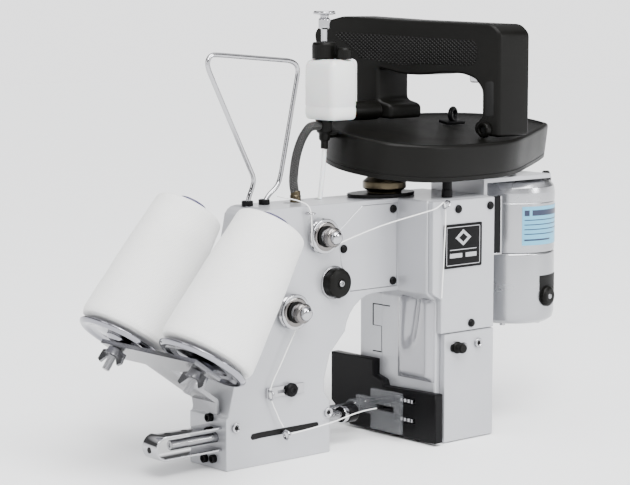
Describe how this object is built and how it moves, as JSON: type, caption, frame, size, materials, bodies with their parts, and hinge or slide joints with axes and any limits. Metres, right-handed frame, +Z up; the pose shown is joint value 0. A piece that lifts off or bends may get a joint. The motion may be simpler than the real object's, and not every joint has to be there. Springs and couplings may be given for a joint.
{
  "type": "bag closer sewing machine",
  "caption": "Portable motor-driven chain-stitch machine with a handle on top, thread cones at one side and a throat that sews bag mouths shut.",
  "frame": {"origin": "middle of the needle leg's flat sole, on the surface the machine stands on", "axes": "+X along the arm from the needle leg to the motor, +Y away from the operator, +Z up"},
  "size_m": [0.466, 0.1898, 0.3515],
  "materials": {
    "frame_casting": "semi-gloss silver-grey paint over a casting",
    "arm_front_cover": "semi-gloss silver-grey paint over a casting",
    "column_upper_cover": "semi-gloss silver-grey paint over a casting",
    "column_lower_cover": "semi-gloss silver-grey paint over a casting",
    "name_plate": "satin black",
    "cover_screw_1": "satin black",
    "cover_screw_2": "satin black",
    "cover_screw_3": "satin black",
    "throat_plate": "satin black",
    "feed_dog": "ground steel",
    "looper": "ground steel",
    "needle_bar": "ground steel",
    "needle_clamp": "satin black",
    "needle": "ground steel",
    "take_up_eyelet": "bright plate",
    "bar_guard": "bright plate",
    "presser_bar": "ground steel",
    "presser_foot": "bright plate",
    "bearing_seat": "satin black",
    "shaft_bearing": "turned brass",
    "main_shaft": "ground steel",
    "drive_pulley": "ground steel",
    "motor_pulley": "ground steel",
    "drive_belt": "moulded rubber",
    "motor_housing": "semi-gloss silver-grey paint over a casting",
    "motor_end_bell": "semi-gloss silver-grey paint over a casting",
    "brush_cap": "fine-grained black moulding",
    "motor_bracket": "satin black",
    "belt_cover": "fine-grained black moulding",
    "cover_post": "satin black",
    "lifting_eye": "satin black",
    "handle": "fine-grained black moulding",
    "start_button": "grey moulding",
    "bottle_nozzle": "satin black",
    "oil_bottle": "translucent white plastic",
    "bottle_cap": "fine-grained black moulding",
    "filler_cap": "fine-grained black moulding",
    "plunger": "ground steel",
    "oil_pipe": "clear white tube",
    "braided_hose": "braided sleeve",
    "tension_discs_1": "bright plate",
    "tension_discs_2": "bright plate",
    "tension_nut_1": "bright plate",
    "tension_nut_2": "bright plate",
    "stitch_dial": "fine-grained black moulding",
    "latch_knob": "fine-grained black moulding",
    "thread_guide": "bright plate",
    "thread_stand": "bright plate",
    "spool_bracket": "bright plate",
    "spool_dish_1": "bright plate",
    "spool_dish_2": "bright plate",
    "cone_core_1": "dark purple tube",
    "cone_core_2": "dark purple tube",
    "thread_cone_1": "wound white thread",
    "thread_cone_2": "wound white thread",
    "wing_nut_1": "bright plate",
    "wing_nut_2": "bright plate",
    "looper_thread": "wound white thread",
    "needle_thread": "wound white thread",
    "needle_thread_low": "wound white thread"
  },
  "bodies": {
    "machine": {"frame_casting": "frame_casting", "arm_front_cover": "arm_front_cover", "column_upper_cover": "column_upper_cover", "column_lower_cover": "column_lower_cover", "name_plate": "name_plate", "cover_screw_1": "cover_screw_1", "cover_screw_2": "cover_screw_2", "cover_screw_3": "cover_screw_3", "throat_plate": "throat_plate", "bar_guard": "bar_guard", "bearing_seat": "bearing_seat", "shaft_bearing": "shaft_bearing", "drive_belt": "drive_belt", "motor_housing": "motor_housing", "motor_end_bell": "motor_end_bell", "brush_cap": "brush_cap", "motor_bracket": "motor_bracket", "belt_cover": "belt_cover", "cover_post": "cover_post", "lifting_eye": "lifting_eye", "handle": "handle", "bottle_nozzle": "bottle_nozzle", "oil_bottle": "oil_bottle", "bottle_cap": "bottle_cap", "filler_cap": "filler_cap", "oil_pipe": "oil_pipe", "braided_hose": "braided_hose", "tension_discs_1": "tension_discs_1", "tension_discs_2": "tension_discs_2", "thread_guide": "thread_guide", "thread_stand": "thread_stand", "spool_bracket": "spool_bracket", "spool_dish_1": "spool_dish_1", "spool_dish_2": "spool_dish_2", "looper_thread": "looper_thread", "needle_thread": "needle_thread"},
    "main_shaft": {"main_shaft": "main_shaft", "drive_pulley": "drive_pulley"},
    "motor_rotor": {"motor_pulley": "motor_pulley"},
    "needle_carriage": {"needle_bar": "needle_bar", "needle_clamp": "needle_clamp", "needle": "needle", "take_up_eyelet": "take_up_eyelet", "needle_thread_low": "needle_thread_low"},
    "presser": {"presser_bar": "presser_bar", "presser_foot": "presser_foot"},
    "feed": {"feed_dog": "feed_dog"},
    "looper": {"looper": "looper"},
    "start_button": {"start_button": "start_button"},
    "pump_plunger": {"plunger": "plunger"},
    "tension_1": {"tension_nut_1": "tension_nut_1"},
    "tension_2": {"tension_nut_2": "tension_nut_2"},
    "stitch_dial": {"stitch_dial": "stitch_dial"},
    "latch": {"latch_knob": "latch_knob"},
    "wing_1": {"wing_nut_1": "wing_nut_1"},
    "wing_2": {"wing_nut_2": "wing_nut_2"},
    "cone_1": {"thread_cone_1": "thread_cone_1", "cone_core_1": "cone_core_1"},
    "cone_2": {"thread_cone_2": "thread_cone_2", "cone_core_2": "cone_core_2"}
  },
  "joints": [
    {"name": "shaft_spin", "type": "hinge", "parent": "machine", "child": "main_shaft", "pos_m": [0.135, -0.001, 0.228], "axis": [0, 0, 1], "continuous": true},
    {"name": "motor_spin", "type": "hinge", "parent": "machine", "child": "motor_rotor", "pos_m": [0.272, -0.015, 0.228], "axis": [0, 0, 1], "continuous": true},
    {"name": "needle_stroke", "type": "slide", "parent": "machine", "child": "needle_carriage", "axis": [1, 0, 0], "range_m": [-0.014, 0.008]},
    {"name": "presser_lift", "type": "slide", "parent": "machine", "child": "presser", "axis": [-1, 0, 0], "range_m": [0, 0.01], "stiffness_N_per_m": 300, "springref_m": -0.004},
    {"name": "feed_step", "type": "slide", "parent": "machine", "child": "feed", "axis": [0, 1, 0], "range_m": [-0.002, 0.004]},
    {"name": "looper_rock", "type": "hinge", "parent": "machine", "child": "looper", "pos_m": [0.178, -0.022, 0.022], "axis": [0, 0, 1], "range_deg": [-5, 25]},
    {"name": "button_press", "type": "slide", "parent": "machine", "child": "start_button", "axis": [0, 0, 1], "range_m": [0, 0.003], "stiffness_N_per_m": 300, "springref_m": -0.002},
    {"name": "plunger_push", "type": "slide", "parent": "machine", "child": "pump_plunger", "axis": [0, 0, -1], "range_m": [0, 0.01], "stiffness_N_per_m": 200, "springref_m": -0.004},
    {"name": "tension_turn_1", "type": "hinge", "parent": "machine", "child": "tension_1", "pos_m": [0.0453, -0.033, 0.1756], "axis": [0, -1, 0], "range_deg": [-360, 360]},
    {"name": "tension_turn_2", "type": "hinge", "parent": "machine", "child": "tension_2", "pos_m": [0.0141, -0.033, 0.1186], "axis": [0, -1, 0], "range_deg": [-360, 360]},
    {"name": "dial_turn", "type": "hinge", "parent": "machine", "child": "stitch_dial", "pos_m": [0.0595, -0.028, 0.137], "axis": [0, -1, 0], "range_deg": [-150, 150]},
    {"name": "latch_turn", "type": "hinge", "parent": "machine", "child": "latch", "pos_m": [0.159, -0.068, 0.0785], "axis": [0, -1, 0], "range_deg": [0, 90]},
    {"name": "wing_turn_1", "type": "hinge", "parent": "machine", "child": "wing_1", "pos_m": [-0.11062, -0.063, 0.08798], "axis": [0.5736, 0, 0.8192], "range_deg": [-360, 360]},
    {"name": "wing_turn_2", "type": "hinge", "parent": "machine", "child": "wing_2", "pos_m": [-0.11881, 0.027, 0.09371], "axis": [0.5736, 0, 0.8192], "range_deg": [-360, 360]},
    {"name": "cone_spin_1", "type": "hinge", "parent": "machine", "child": "cone_1", "pos_m": [-0.098, -0.063, 0.106], "axis": [0.5736, 0, 0.8192], "continuous": true},
    {"name": "cone_spin_2", "type": "hinge", "parent": "machine", "child": "cone_2", "pos_m": [-0.10619, 0.027, 0.11174], "axis": [0.5736, 0, 0.8192], "continuous": true}
  ],
  "couplings": [
    {"joint": "motor_spin", "follows": "shaft_spin", "ratio": 3.5556}
  ]
}
